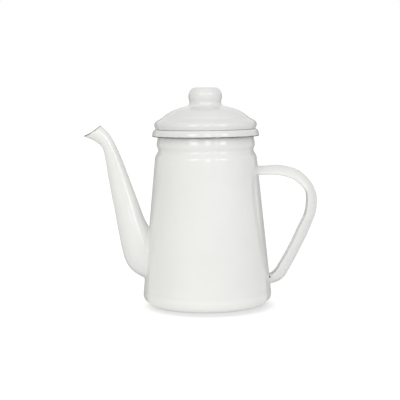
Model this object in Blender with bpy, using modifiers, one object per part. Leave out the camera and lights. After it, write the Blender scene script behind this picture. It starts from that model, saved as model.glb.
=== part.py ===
"""Enamelled steel coffee pot with a lift-off lid.

The pot is sheet steel under white enamel: a tapering body with a rolled rim, a welded base pan,
a curved spout pressed in two halves, a strap handle of open section, and a lid of three pieces,
the domed cover, its hollow knob and the collar that drops into the mouth.
The spout points along -X and the handle along +X. The table is at Z = 0.
"""
import math

import bmesh
import bpy
from mathutils import Vector

MM = 0.001

# Sheet, welds and fits
SHEET = 1.2 * MM
WELD_GAP = 0.3 * MM
LID_SEAT_GAP = 0.3 * MM
LID_FIT_GAP = 0.7 * MM
MERGE_DISTANCE = 0.01 * MM
CUT_OVERRUN = 12.0 * MM

# Rolled rim of the body
RIM_RADIUS = 53.7 * MM
RIM_CROWN_RADIUS = 49.7 * MM
RIM_HEIGHT = 174.1 * MM
RIM_ROLL_DEPTH = 6.2 * MM
RIM_LIP_DROP = 0.6 * MM
RIM_INNER_ROLL_DEPTH = 4.6 * MM

# Body wall, outside radii, from the neck down to the foot. Each fall is measured from the one above
NECK_RADIUS = 48.4 * MM
NECK_FALL = 8.1 * MM
BEAD_RADIUS = 49.1 * MM
BEAD_FALL = 6.6 * MM
GROOVE_RADIUS = 47.9 * MM
GROOVE_FALL = 4.8 * MM
SHOULDER_RADIUS = 51.2 * MM
SHOULDER_FALL = 9.4 * MM
FOOT_RADIUS = 64.2 * MM
FOOT_HEIGHT = 13.0 * MM

# Base pan
PAN_SEAM_HEIGHT = 15.0 * MM
PAN_CORNER_RADIUS = 11.7 * MM
FOOT_RING_WIDTH = 3.8 * MM
FOOT_RECESS = 1.5 * MM
FOOT_RECESS_RUN = 3.0 * MM

# Spout
SPOUT_SHEET = 1.2 * MM
SPOUT_LOW_HEIGHT = 24.0 * MM
SPOUT_RISE = 155.0 * MM
SPOUT_REACH = 60.7 * MM
SPOUT_ROOT_HEIGHT = 50.0 * MM
SPOUT_ROOT_WIDTH = 32.0 * MM

# Strainer punched through the wall behind the spout
STRAINER_HOLE_RADIUS = 2.8 * MM
STRAINER_PITCH = 8.0 * MM
STRAINER_HEIGHT = 52.0 * MM
STRAINER_ROWS = (2, 3, 2, 3, 2)

# Handle strap
HANDLE_SHEET = 1.5 * MM
HANDLE_LOW_HEIGHT = 19.3 * MM
HANDLE_RISE = 119.4 * MM
HANDLE_REACH = 55.7 * MM
HANDLE_WIDTH = 21.0 * MM
HANDLE_CURL = math.radians(116)

# Lid, heights above the rim that it rests on
LID_BEAD_RADIUS = 51.4 * MM
LID_BEAD_HEIGHT = 4.8 * MM
DOME_RADIUS = 43.7 * MM
DOME_FOOT_HEIGHT = 12.3 * MM
DOME_CROWN_HEIGHT = 23.7 * MM
DOME_CROWN_RADIUS = 18.8 * MM
KNOB_VENT_RADIUS = 4.0 * MM
KNOB_RADIUS = 17.2 * MM
KNOB_HEIGHT = 18.1 * MM
COLLAR_FLANGE = 2.6 * MM
COLLAR_DEPTH = 12.5 * MM

# Facets of the round pieces and of the lofts
RING_STEPS = 48
KNOB_STEPS = 36
ROLL_STEPS = 5
CORNER_STEPS = 6
WAVE_STEPS = 4
WALL_STEPS = 4
SECTION_STEPS = 9
STRAP_SECTION_STEPS = 10
LOFT_STEPS = 2
HOLE_SIDES = 10

# Each row of the spout follows one section from its inner edge, nearer the body, to its outer edge:
# reach and height of the inner edge, reach and height of the outer edge, and width
spout_section_shares = (
    (-0.167, 0.186, -0.050, 0.000, 1.00),
    (-0.119, 0.265, 0.107, 0.029, 1.00),
    (-0.078, 0.310, 0.245, 0.067, 0.99),
    (-0.045, 0.343, 0.340, 0.121, 0.96),
    (-0.012, 0.366, 0.401, 0.199, 0.92),
    (0.046, 0.414, 0.477, 0.363, 0.80),
    (0.134, 0.512, 0.520, 0.466, 0.68),
    (0.240, 0.628, 0.576, 0.583, 0.58),
    (0.339, 0.738, 0.622, 0.699, 0.51),
    (0.417, 0.816, 0.657, 0.790, 0.47),
    (0.478, 0.870, 0.691, 0.850, 0.45),
    (0.537, 0.918, 0.756, 0.886, 0.45),
    (0.613, 0.962, 0.862, 0.914, 0.47),
    (0.722, 1.003, 1.000, 0.937, 0.50),
)

# Each row of the handle does the same: reach and height of the inner edge and of the outer edge, width
handle_section_shares = (
    (-0.161, 0.930, -0.148, 0.994, 0.74),
    (0.062, 0.928, 0.078, 0.993, 0.74),
    (0.349, 0.925, 0.366, 0.999, 0.84),
    (0.580, 0.895, 0.639, 0.971, 0.93),
    (0.683, 0.861, 0.780, 0.930, 0.97),
    (0.784, 0.812, 0.907, 0.862, 1.00),
    (0.833, 0.772, 0.978, 0.791, 1.00),
    (0.837, 0.728, 1.000, 0.724, 1.00),
    (0.823, 0.674, 0.985, 0.667, 1.00),
    (0.791, 0.614, 0.953, 0.598, 1.00),
    (0.742, 0.558, 0.881, 0.527, 1.00),
    (0.626, 0.467, 0.773, 0.430, 1.00),
    (0.499, 0.363, 0.639, 0.325, 1.00),
    (0.366, 0.262, 0.507, 0.224, 0.98),
    (0.230, 0.170, 0.364, 0.122, 0.94),
    (0.141, 0.114, 0.259, 0.055, 0.88),
    (0.058, 0.080, 0.150, 0.020, 0.83),
    (-0.014, 0.070, 0.031, 0.003, 0.79),
    (-0.134, 0.067, -0.133, 0.000, 0.75),
)

# Outside of the knob from its seam up to its top: share of the radius and of the height
knob_outline_shares = (
    (1.070, 0.000),
    (1.020, 0.050),
    (0.970, 0.115),
    (0.946, 0.200),
    (0.957, 0.285),
    (0.992, 0.400),
    (1.000, 0.480),
    (0.985, 0.630),
    (0.882, 0.825),
    (0.755, 0.940),
    (0.634, 0.990),
    (0.000, 1.000),
)

# Top of the dome from the knob's seat out to its foot: share of the way out and of the way down
dome_outline_shares = (
    (0.000, 0.000),
    (0.140, 0.045),
    (0.420, 0.215),
    (0.600, 0.385),
    (0.740, 0.560),
    (0.864, 0.735),
    (0.960, 0.910),
    (1.000, 1.000),
)

# Bead round the lid from the dome's foot down to its edge: share of the way out to the widest point
# and of the height between the dome's foot and the edge
lid_bead_shares = (
    (0.000, 1.000),
    (0.340, 0.880),
    (0.680, 0.750),
    (0.930, 0.590),
    (1.000, 0.390),
    (0.930, 0.180),
)

WHITE = (0.83, 0.83, 0.815)


def clear_scene():
    for obj in list(bpy.data.objects):
        bpy.data.objects.remove(obj, do_unlink=True)


def make_collection(name):
    collection = bpy.data.collections.new(name)
    bpy.context.scene.collection.children.link(collection)
    return collection


def enamel(name, colour=WHITE, roughness=0.12):
    material = bpy.data.materials.new(name)
    material.use_nodes = True
    shader = material.node_tree.nodes["Principled BSDF"]
    shader.inputs["Base Color"].default_value = (*colour, 1)
    shader.inputs["Roughness"].default_value = roughness
    shader.inputs["Metallic"].default_value = 0
    return material


def place(obj, collection, parent):
    collection.objects.link(obj)
    obj.parent = parent
    return obj


def empty(name, collection, parent, location):
    obj = bpy.data.objects.new(name, None)
    place(obj, collection, parent)
    obj.location = location
    return obj


# Curves in the (radius, height) plane and in the (reach, height) plane


def ease(start, end, start_slope, end_slope, steps):
    """Points from start to end, radius against height, with the given slopes at the two ends."""
    run = end[1] - start[1]
    points = []
    for step in range(steps + 1):
        t = step / steps
        radius = (
            start[0] * (2 * t**3 - 3 * t**2 + 1)
            + start_slope * run * (t**3 - 2 * t**2 + t)
            + end[0] * (3 * t**2 - 2 * t**3)
            + end_slope * run * (t**3 - t**2)
        )
        points.append((radius, start[1] + run * t))
    return points


def arc(centre, radii, start, end, steps):
    """Points on an ellipse about centre from angle start to angle end, in radians."""
    points = []
    for step in range(steps + 1):
        angle = start + (end - start) * step / steps
        points.append((centre[0] + radii[0] * math.cos(angle), centre[1] + radii[1] * math.sin(angle)))
    return points


def through(rows, steps):
    """Rows of numbers on a smooth curve through the given rows, with steps between each two."""
    smooth = []
    last = len(rows) - 1
    for index in range(last):
        before = rows[max(index - 1, 0)]
        here = rows[index]
        ahead = rows[index + 1]
        after = rows[min(index + 2, last)]
        for step in range(steps):
            t = step / steps
            row = []
            for a, b, c, d in zip(before, here, ahead, after):
                bend = (2 * a - 5 * b + 4 * c - d) * t**2 + (3 * b - a - 3 * c + d) * t**3
                row.append(b + ((c - a) * t + bend) / 2)
            smooth.append(tuple(row))
    smooth.append(tuple(rows[last]))
    return smooth


def offset(points, distance):
    """The same line moved sideways, to the left of its direction for a positive distance."""
    moved = []
    last = len(points) - 1
    sharpest_share = 0.5
    for index, point in enumerate(points):
        behind = Vector(points[max(index - 1, 0)])
        here = Vector(point)
        ahead = Vector(points[min(index + 1, last)])
        arriving = (here - behind).normalized() if index > 0 else (ahead - here).normalized()
        leaving = (ahead - here).normalized() if index < last else arriving
        across = (arriving + leaving).normalized()
        left = Vector((-across.y, across.x))
        stretch = max(left.dot(Vector((-arriving.y, arriving.x))), sharpest_share)
        moved.append(tuple(here + left * (distance / stretch)))
    return moved


def sheet_loop(points, thickness):
    """Closed outline of a sheet with one face on the given line and its thickness to the left."""
    return points + offset(points, thickness)[::-1]


def height_at(points, radius):
    """Height of a line at a radius, the line running out from the axis."""
    for start, end in zip(points, points[1:]):
        if start[0] <= radius <= end[0]:
            share = (radius - start[0]) / (end[0] - start[0])
            return start[1] + share * (end[1] - start[1])
    return points[-1][1]


def neck_heights():
    """Heights of the neck, the bead, the groove and the shoulder above the table."""
    neck = RIM_HEIGHT - NECK_FALL
    bead = neck - BEAD_FALL
    groove = bead - GROOVE_FALL
    return neck, bead, groove, groove - SHOULDER_FALL


def wall_slope():
    shoulder_height = neck_heights()[-1]
    return (SHOULDER_RADIUS - FOOT_RADIUS) / (shoulder_height - FOOT_HEIGHT)


def wall_radius(height):
    """Outside radius of the straight part of the body at a height."""
    return FOOT_RADIUS + wall_slope() * (height - FOOT_HEIGHT)


def wall_line():
    """Outside of the body from the neck under the rim down to the seam of the base pan."""
    radii = (NECK_RADIUS, BEAD_RADIUS, GROOVE_RADIUS, SHOULDER_RADIUS)
    neck, bead, groove, shoulder = zip(radii, neck_heights())
    seam = (wall_radius(PAN_SEAM_HEIGHT), PAN_SEAM_HEIGHT)
    line = ease(neck, bead, 0, 0, WAVE_STEPS)
    line += ease(bead, groove, 0, 0, WAVE_STEPS)[1:]
    line += ease(groove, shoulder, 0, wall_slope(), WAVE_STEPS + 1)[1:]
    line += ease(shoulder, seam, wall_slope(), wall_slope(), WALL_STEPS)[1:]
    return line


# Solids


def turned(name, line, steps, material, collection, parent):
    """A turned solid from a closed outline, or from an open one that starts and ends on the axis."""
    on_axis = min(line[0][0], line[-1][0]) < MERGE_DISTANCE
    area = sum(a[0] * b[1] - b[0] * a[1] for a, b in zip(line, line[1:] + line[:1]))
    ordered = line[::-1] if area > 0 else line
    mesh = bpy.data.meshes.new(name)
    edges = [(index, index + 1) for index in range(len(ordered) - 1)]
    if not on_axis:
        edges.append((len(ordered) - 1, 0))
    mesh.from_pydata([(radius, 0, height) for radius, height in ordered], edges, [])
    obj = place(bpy.data.objects.new(name, mesh), collection, parent)
    screw = obj.modifiers.new("turn", "SCREW")
    screw.axis = "Z"
    screw.steps = steps
    screw.render_steps = steps
    screw.use_merge_vertices = True
    screw.merge_threshold = MERGE_DISTANCE
    screw.use_smooth_shade = True
    if material:
        mesh.materials.append(material)
    return obj


def lofted(name, sections, material, collection, parent):
    """A closed solid whose side joins one closed section to the next, with flat ends."""
    shape = bmesh.new()
    rings = [[shape.verts.new(point) for point in section] for section in sections]
    for ring, following in zip(rings, rings[1:]):
        for index in range(len(ring)):
            beside = (index + 1) % len(ring)
            shape.faces.new((ring[index], ring[beside], following[beside], following[index]))
    shape.faces.new(rings[0][::-1])
    shape.faces.new(rings[-1])
    bmesh.ops.recalc_face_normals(shape, faces=shape.faces)
    mesh = bpy.data.meshes.new(name)
    shape.to_mesh(mesh)
    shape.free()
    mesh.shade_smooth()
    mesh.set_sharp_from_angle(angle=math.radians(40))
    mesh.materials.append(material)
    return place(bpy.data.objects.new(name, mesh), collection, parent)


def cut(obj, cutter):
    boolean = obj.modifiers.new("cut", "BOOLEAN")
    boolean.operation = "DIFFERENCE"
    boolean.solver = "EXACT"
    boolean.object = cutter


def as_cutter(obj):
    obj.hide_render = True
    obj.display_type = "WIRE"
    return obj


# Pieces of the pot


def rim_line():
    """Upper face of the rolled rim, from its lip over the crown to the inside of the neck."""
    neck_inside = NECK_RADIUS - SHEET
    centre = (RIM_CROWN_RADIUS, RIM_HEIGHT - RIM_ROLL_DEPTH)
    outer_radii = (RIM_RADIUS - RIM_CROWN_RADIUS, RIM_ROLL_DEPTH)
    inner_centre = (RIM_CROWN_RADIUS, RIM_HEIGHT - RIM_INNER_ROLL_DEPTH)
    inner_radii = (RIM_CROWN_RADIUS - neck_inside, RIM_INNER_ROLL_DEPTH)
    lip = [(RIM_RADIUS, centre[1] - RIM_LIP_DROP)]
    outer = arc(centre, outer_radii, 0, math.pi / 2, ROLL_STEPS)
    inner = arc(inner_centre, inner_radii, math.pi / 2, math.pi, ROLL_STEPS - 1)
    return lip + outer + inner[1:]


def make_body(material, collection, parent):
    inside = [(radius - SHEET, height) for radius, height in wall_line()]
    loop = sheet_loop(rim_line() + inside, SHEET)
    return turned("pot_body", loop, RING_STEPS, material, collection, parent)


def make_base_pan(material, collection, parent):
    """Dished bottom with a rounded corner, standing on a flat ring round a shallow recess."""
    lean = math.atan(-wall_slope())
    top = (wall_radius(PAN_SEAM_HEIGHT - WELD_GAP), PAN_SEAM_HEIGHT - WELD_GAP)
    tangent_height = PAN_CORNER_RADIUS * (1 + math.sin(lean))
    corner_centre = (
        wall_radius(tangent_height) - PAN_CORNER_RADIUS * math.cos(lean),
        PAN_CORNER_RADIUS,
    )
    corner = arc(corner_centre, (PAN_CORNER_RADIUS, PAN_CORNER_RADIUS), lean, -math.pi / 2, CORNER_STEPS)
    ring_inside = corner_centre[0] - FOOT_RING_WIDTH
    outside = [top] + corner + [
        (ring_inside, 0),
        (ring_inside - FOOT_RECESS_RUN, FOOT_RECESS),
        (0, FOOT_RECESS),
    ]
    inside = offset(outside, -SHEET)
    inside[0] = (top[0] - SHEET, top[1])
    inside[-1] = (0, FOOT_RECESS + SHEET)
    line = outside[::-1] + inside
    return turned("base_pan", line, RING_STEPS, material, collection, parent)


def make_wall_cutter(collection, parent):
    """Solid of the body's outside grown by the weld gap, which trims the spout and the handle."""
    line = [(radius + WELD_GAP, height) for radius, height in wall_line()]
    top = (line[0][0], RIM_HEIGHT)
    bottom = (wall_radius(-CUT_OVERRUN), -CUT_OVERRUN)
    loop = [(0, RIM_HEIGHT), top] + line + [bottom, (0, -CUT_OVERRUN)]
    return as_cutter(turned("wall_cutter", loop, RING_STEPS, None, collection, parent))


def make_strainer_cutter(collection, parent):
    """Punches for the strainer: rows of holes side by side, each row half a pitch off the last."""
    row_rise = STRAINER_PITCH * math.sin(math.radians(60))
    shape = bmesh.new()
    length = CUT_OVERRUN * 2
    for row, count in enumerate(STRAINER_ROWS):
        height = STRAINER_HEIGHT + (row - (len(STRAINER_ROWS) - 1) / 2) * row_rise
        for column in range(count):
            side = (column - (count - 1) / 2) * STRAINER_PITCH
            made = bmesh.ops.create_cone(
                shape,
                cap_ends=True,
                segments=HOLE_SIDES,
                radius1=STRAINER_HOLE_RADIUS,
                radius2=STRAINER_HOLE_RADIUS,
                depth=length,
            )
            turn = Vector((0, 0, 1)).rotation_difference(Vector((-1, 0, 0))).to_matrix()
            bmesh.ops.rotate(shape, verts=made["verts"], cent=(0, 0, 0), matrix=turn)
            centre = Vector((-wall_radius(height), side, height))
            bmesh.ops.translate(shape, verts=made["verts"], vec=centre)
    mesh = bpy.data.meshes.new("strainer_cutter")
    shape.to_mesh(mesh)
    shape.free()
    return as_cutter(place(bpy.data.objects.new("strainer_cutter", mesh), collection, parent))


def spout_sections(side):
    """Half rings of the spout's sheet on one side of the middle plane, from the root to the mouth."""
    root_wall = wall_radius(SPOUT_ROOT_HEIGHT)
    sections = []
    for row in through(spout_section_shares, LOFT_STEPS):
        inner = Vector((-root_wall - SPOUT_REACH * row[0], 0, SPOUT_LOW_HEIGHT + SPOUT_RISE * row[1]))
        outer = Vector((-root_wall - SPOUT_REACH * row[2], 0, SPOUT_LOW_HEIGHT + SPOUT_RISE * row[3]))
        centre = (inner + outer) / 2
        half_depth = (outer - inner).length / 2
        half_width = SPOUT_ROOT_WIDTH * row[4] / 2
        outward = (outer - inner).normalized()
        section = []
        for sheet, turns in ((0, range(SECTION_STEPS + 1)), (SPOUT_SHEET, range(SECTION_STEPS, -1, -1))):
            for step in turns:
                angle = math.pi * step / SECTION_STEPS
                sideways = 0 if step in (0, SECTION_STEPS) else math.sin(angle)
                section.append(
                    centre
                    + outward * ((half_depth - sheet) * math.cos(angle))
                    + Vector((0, side, 0)) * ((half_width - sheet) * sideways)
                )
        sections.append(section)
    return sections


def make_spout_half(name, side, material, collection, parent, cutter):
    half = lofted(name, spout_sections(side), material, collection, parent)
    cut(half, cutter)
    return half


def handle_point(reach_share, height_share):
    height = HANDLE_LOW_HEIGHT + HANDLE_RISE * height_share
    return Vector((wall_radius(height) + HANDLE_REACH * reach_share, 0, height))


def handle_sections():
    """Open sections of the strap: the sheet curls from one lip round the back to the other lip."""
    sections = []
    for row in through(handle_section_shares, LOFT_STEPS):
        inner = handle_point(row[0], row[1])
        outer = handle_point(row[2], row[3])
        outward = (outer - inner).normalized()
        rise = (outer - inner).length / (1 - math.cos(HANDLE_CURL))
        half_width = HANDLE_WIDTH * row[4] / 2
        centre = outer - outward * rise
        faces = ([], [])
        for step in range(STRAP_SECTION_STEPS + 1):
            angle = HANDLE_CURL * (2 * step / STRAP_SECTION_STEPS - 1)
            edge = Vector((rise * math.cos(angle), half_width * math.sin(angle)))
            normal = Vector((math.cos(angle) / rise, math.sin(angle) / half_width)).normalized()
            for face, depth in zip(faces, (0, HANDLE_SHEET)):
                spot = edge - normal * depth
                face.append(centre + outward * spot.x + Vector((0, spot.y, 0)))
        sections.append(faces[0] + faces[1][::-1])
    return sections


def make_handle(material, collection, parent, cutter):
    handle = lofted("handle_strap", handle_sections(), material, collection, parent)
    cut(handle, cutter)
    return handle


# Pieces of the lid, modelled from the rim that the lid rests on


def lid_line():
    """Outside of the lid from the knob's vent over the dome and the bead to the edge on the rim."""
    dome_run = DOME_RADIUS - DOME_CROWN_RADIUS
    dome_fall = DOME_CROWN_HEIGHT - DOME_FOOT_HEIGHT
    bead_run = LID_BEAD_RADIUS - DOME_RADIUS
    bead_fall = DOME_FOOT_HEIGHT - LID_SEAT_GAP
    crown = [
        (DOME_CROWN_RADIUS + dome_run * out, DOME_CROWN_HEIGHT - dome_fall * down)
        for out, down in dome_outline_shares
    ]
    bead = [(DOME_RADIUS + bead_run * out, LID_SEAT_GAP + bead_fall * up) for out, up in lid_bead_shares]
    edge = (RIM_CROWN_RADIUS, LID_SEAT_GAP)
    vent = (KNOB_VENT_RADIUS, DOME_CROWN_HEIGHT)
    return [vent] + crown + bead[1:] + [edge]


def make_dome(material, collection, parent):
    loop = sheet_loop(lid_line(), -SHEET)
    edge_inside = loop[len(lid_line())]
    loop[len(lid_line())] = (edge_inside[0], LID_SEAT_GAP)
    return turned("lid_dome", loop, RING_STEPS, material, collection, parent)


def make_collar(material, collection, parent):
    """Ring under the lid that drops into the neck, its top flange welded inside the bead."""
    mouth = min(GROOVE_RADIUS, NECK_RADIUS) - SHEET
    inside = mouth - LID_FIT_GAP - SHEET
    underside = offset(lid_line(), -SHEET - WELD_GAP)
    bead_start = inside + SHEET
    flange_tip = bead_start + COLLAR_FLANGE
    line = [
        (flange_tip, height_at(underside, flange_tip)),
        (bead_start, height_at(underside, bead_start)),
        (inside, height_at(underside, bead_start) - SHEET),
        (inside, -COLLAR_DEPTH),
    ]
    loop = sheet_loop(line, SHEET)
    return turned("lid_collar", loop, RING_STEPS, material, collection, parent)


def make_knob(material, collection, parent):
    """Hollow pressed knob, open below, standing on the flat crown of the dome."""
    seat = DOME_CROWN_HEIGHT + WELD_GAP
    outside = [(KNOB_RADIUS * out, seat + KNOB_HEIGHT * up) for out, up in knob_outline_shares]
    inside = offset(outside, SHEET)
    inside[0] = (outside[0][0] - SHEET, seat)
    inside[-1] = (0, outside[-1][1] - SHEET)
    return turned("lid_knob", outside[::-1] + inside, KNOB_STEPS, material, collection, parent)


def build():
    clear_scene()
    pot = make_collection("enamel_coffee_pot")
    tools = make_collection("cutters")
    spout_tip = wall_radius(SPOUT_ROOT_HEIGHT) + SPOUT_REACH
    handle_back = max(point.x for section in handle_sections() for point in section)
    axis_offset = (spout_tip - handle_back) / 2
    pot_axis = empty("pot_axis", pot, None, (axis_offset, 0, 0))
    lid_axis = empty("lid_axis", pot, pot_axis, (0, 0, RIM_HEIGHT))

    wall_cutter = make_wall_cutter(tools, pot_axis)
    strainer_cutter = make_strainer_cutter(tools, pot_axis)

    body = make_body(enamel("body_enamel"), pot, pot_axis)
    cut(body, strainer_cutter)
    make_base_pan(enamel("pan_enamel"), pot, pot_axis)
    make_spout_half("spout_near_half", -1, enamel("spout_near_enamel"), pot, pot_axis, wall_cutter)
    make_spout_half("spout_far_half", 1, enamel("spout_far_enamel"), pot, pot_axis, wall_cutter)
    make_handle(enamel("handle_enamel"), pot, pot_axis, wall_cutter)
    make_dome(enamel("lid_enamel"), pot, lid_axis)
    make_collar(enamel("collar_enamel"), pot, lid_axis)
    make_knob(enamel("knob_enamel"), pot, lid_axis)


build()
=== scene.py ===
"""Looks of the enamel coffee pot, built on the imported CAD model.

Each CAD piece gets a finer one in the same place: the rolled rim with its bare lip, the spout and
the handle flowing into the body through a fillet of enamel, and the lid with its bead and knob.
The table is at Z = 0, the spout points along -X and the handle along +X.
"""
import math

import bmesh
import bpy
from mathutils import Matrix, Vector


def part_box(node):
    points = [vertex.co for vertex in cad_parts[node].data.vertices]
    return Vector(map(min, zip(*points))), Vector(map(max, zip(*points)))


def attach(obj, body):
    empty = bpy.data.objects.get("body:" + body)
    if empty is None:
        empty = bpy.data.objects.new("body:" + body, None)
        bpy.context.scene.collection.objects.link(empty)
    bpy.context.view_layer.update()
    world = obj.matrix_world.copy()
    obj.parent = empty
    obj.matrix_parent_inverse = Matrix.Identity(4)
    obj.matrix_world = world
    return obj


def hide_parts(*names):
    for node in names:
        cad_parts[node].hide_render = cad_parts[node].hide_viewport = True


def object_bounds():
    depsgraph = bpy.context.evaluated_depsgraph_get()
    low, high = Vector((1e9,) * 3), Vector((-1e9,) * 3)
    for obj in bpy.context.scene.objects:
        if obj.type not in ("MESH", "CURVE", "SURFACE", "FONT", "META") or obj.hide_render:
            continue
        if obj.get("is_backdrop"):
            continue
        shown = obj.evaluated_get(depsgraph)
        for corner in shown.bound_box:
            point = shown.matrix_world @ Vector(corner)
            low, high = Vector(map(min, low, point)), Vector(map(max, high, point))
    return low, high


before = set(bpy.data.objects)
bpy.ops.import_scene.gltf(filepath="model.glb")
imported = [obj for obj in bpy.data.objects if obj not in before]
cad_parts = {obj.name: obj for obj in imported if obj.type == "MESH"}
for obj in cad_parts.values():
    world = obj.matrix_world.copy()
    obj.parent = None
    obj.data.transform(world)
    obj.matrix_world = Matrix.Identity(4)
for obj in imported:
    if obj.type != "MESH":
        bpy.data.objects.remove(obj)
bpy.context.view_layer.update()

MM = 0.001

# Sheet, welds and fits, as in the CAD
SHEET = 1.2 * MM
WELD_GAP = 0.3 * MM
LID_SEAT_GAP = 0.3 * MM
LID_FIT_GAP = 0.7 * MM

# Rolled rim of the body
RIM_RADIUS = 53.2 * MM
RIM_CROWN_RADIUS = 49.7 * MM
RIM_HEIGHT = 175.1 * MM
RIM_ROLL_DEPTH = 6.2 * MM
RIM_LIP_DROP = 0.8 * MM
RIM_INNER_ROLL_DEPTH = 4.6 * MM

# Outside of the body, each as a radius and a height, and the lean of the neck at its first three
NECK = (47.6 * MM, 167.6 * MM)
NECK_FOOT = (48.0 * MM, 164.9 * MM)
BEAD_BROW = (48.65 * MM, 161.8 * MM)
BEAD = (48.85 * MM, 160.0 * MM)
GROOVE = (47.4 * MM, 154.5 * MM)
SHOULDER = (50.7 * MM, 146.4 * MM)
FOOT = (63.9 * MM, 13.0 * MM)
NECK_SLOPES = (-0.16, -0.115, -0.21)

# Base pan
PAN_SEAM_HEIGHT = 15.0 * MM
PAN_OVERLAP = 0.5 * MM
PAN_LAP = 0.02 * MM
PAN_CORNER_RADIUS = 10.6 * MM
FOOT_RING_WIDTH = 3.8 * MM
FOOT_RECESS = 1.5 * MM
FOOT_RECESS_RUN = 3.0 * MM

# Spout
SPOUT_LOW_HEIGHT = 24.0 * MM
SPOUT_RISE = 155.0 * MM
SPOUT_REACH = 60.7 * MM
SPOUT_ROOT_HEIGHT = 50.0 * MM
SPOUT_ROOT_WIDTH = 32.0 * MM
SPOUT_FILLET = 2.6 * MM
SPOUT_MOUTH_BULGE = -0.9 * MM

# Places along the spout, counted in rows of its table
SPOUT_MOUTH_RUN = 1.5
SPOUT_MOUTH_TRIM = 0.04
SPOUT_CLEAR_ROW = 7
SPOUT_PACE_STEP = 0.1

# Strainer punched through the wall behind the spout
STRAINER_HOLE_RADIUS = 2.8 * MM
STRAINER_PITCH = 8.0 * MM
STRAINER_HEIGHT = 52.0 * MM
STRAINER_ROWS = (2, 3, 2, 3, 2)
STRAINER_DEPTH = 24.0 * MM
STRAINER_STAGGER = math.radians(60)

# Handle strap
HANDLE_SHEET = 1.5 * MM
HANDLE_LOW_HEIGHT = 19.3 * MM
HANDLE_RISE = 119.4 * MM
HANDLE_REACH = 55.7 * MM
HANDLE_WIDTH = 21.0 * MM
HANDLE_CURL = math.radians(76)
HANDLE_FILLET = 1.6 * MM
HANDLE_PACE_STEP = 0.05
# Column of the strap's outline at whose lower foot the dark spot sits, partly bare steel and
# partly painted shade of the hollow there
SHADED_PIT_COLUMN = 1

# Skirt of a fillet: its reach as a share of the fillet, and how deep in the wall it ends
SKIRT_REACH_SHARE = 1.12
SKIRT_DEPTH = 0.03 * MM

# Lid, heights above the rim that it rests on
LID_BEAD_RADIUS = 51.0 * MM
DOME_RADIUS = 42.9 * MM
DOME_FOOT_HEIGHT = 11.3 * MM
DOME_CROWN_HEIGHT = 22.55 * MM
DOME_CROWN_RADIUS = 18.8 * MM
KNOB_VENT_RADIUS = 4.0 * MM
KNOB_RADIUS = 16.6 * MM
KNOB_HEIGHT = 18.35 * MM
KNOB_FILLET_OUT = 3.8 * MM
KNOB_FILLET_PULL = 0.5
KNOB_FILLET_RISE = 0.6
KNOB_SLOPE_RUN = 0.3 * MM
KNOB_SKIRT_OUT = 0.4 * MM
KNOB_SKIRT_DEPTH = 0.05 * MM
COLLAR_FLANGE = 2.6 * MM
COLLAR_DEPTH = 13.5 * MM

# Steps of the fine meshes
RING_STEPS = 288
KNOB_STEPS = 144
ROLL_STEPS = 18
CORNER_STEPS = 90
WAVE_STEPS = 12
WALL_STEPS = 70
SHARE_STEPS = 6
EDGE_STEPS = 6
SPOUT_AROUND = 72
SPOUT_ALONG = 150
HANDLE_AROUND = 40
HANDLE_ALONG = 190
FILLET_STEPS = 12
HOLE_SIDES = 36
CREASE = math.radians(42)
MERGE_DISTANCE = 0.001 * MM
HALVINGS = 40

# Distances to a worn edge, kept on a mesh's points in millimetres, which also place the painted
# shade on the rim, and the rows of the spout's lip
FAR_FROM_EDGE = 99.0
RIM_MARK_REACH = 10.0
LIP_MARK_ROWS = 6

# Enamel
ENAMEL_IOR = 1.68
GLOSS = (0.05, 0.09)
STRAP_GLOSS = (0.28, 0.33)
GLOSS_SCALE = 60.0
ENAMEL_CLOUDS = ((0.856, 0.856, 0.851), (0.826, 0.824, 0.817))
CLOUD_SCALE = 16.0
CLOUD_SPAN = (0.35, 0.65)
NOISE_SPAN = (0.3, 0.7)
WAVE_SCALE = 30.0
WAVE_HEIGHT = 0.07 * MM
PEEL_SCALE = 260.0
PEEL_HEIGHT = 0.003 * MM
SEED_SHIFT = (1.0, 0.37, 0.71)

# Painted light and shade on a piece, as shares of the body's red, green and blue: the lid, its
# ring, the knob and the strap are painted darker, the spout lighter
LID_PAINTED_SHADE = (0.93, 0.93, 0.94)
KNOB_PAINTED_SHADE = (0.935, 0.935, 0.945)
SPOUT_PAINTED_LIGHT = (1.018, 1.018, 1.015)
STRAP_PAINTED_SHADE = (0.975, 0.975, 0.98)

# Painted light low on the foot: paler enamel over a span of heights, where the corner faces the
# table
FOOT_PAINTED_LIGHT = (0.91, 0.91, 0.904)
FOOT_PAINTED_LIGHT_SPAN = (0.005, 0.0135)

# Painted shade on the rim: darker enamel over a span of distances from its lip
RIM_PAINTED_SHADE = (0.785, 0.784, 0.775)
RIM_PAINTED_SHADE_SPAN = (5.5, 8.5)

# Bare steel along a worn lip, and a dark spot at the strap's lower foot that is partly bare steel
# and partly painted shade of the hollow there: two browns, and how ragged and how soft its border
# is
RUST_AND_PIT_SHADE_COLOURS = ((0.045, 0.040, 0.036), (0.13, 0.10, 0.075))
RUST_SCALE = 700.0
RUST_ROUGHNESS = 0.6
RAGGED_SCALE = 300.0
RAGGED_GRAIN = 0.6
RAGGED_SPAN = (-0.18, 0.18)
BARE_FADE = 0.25

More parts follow.
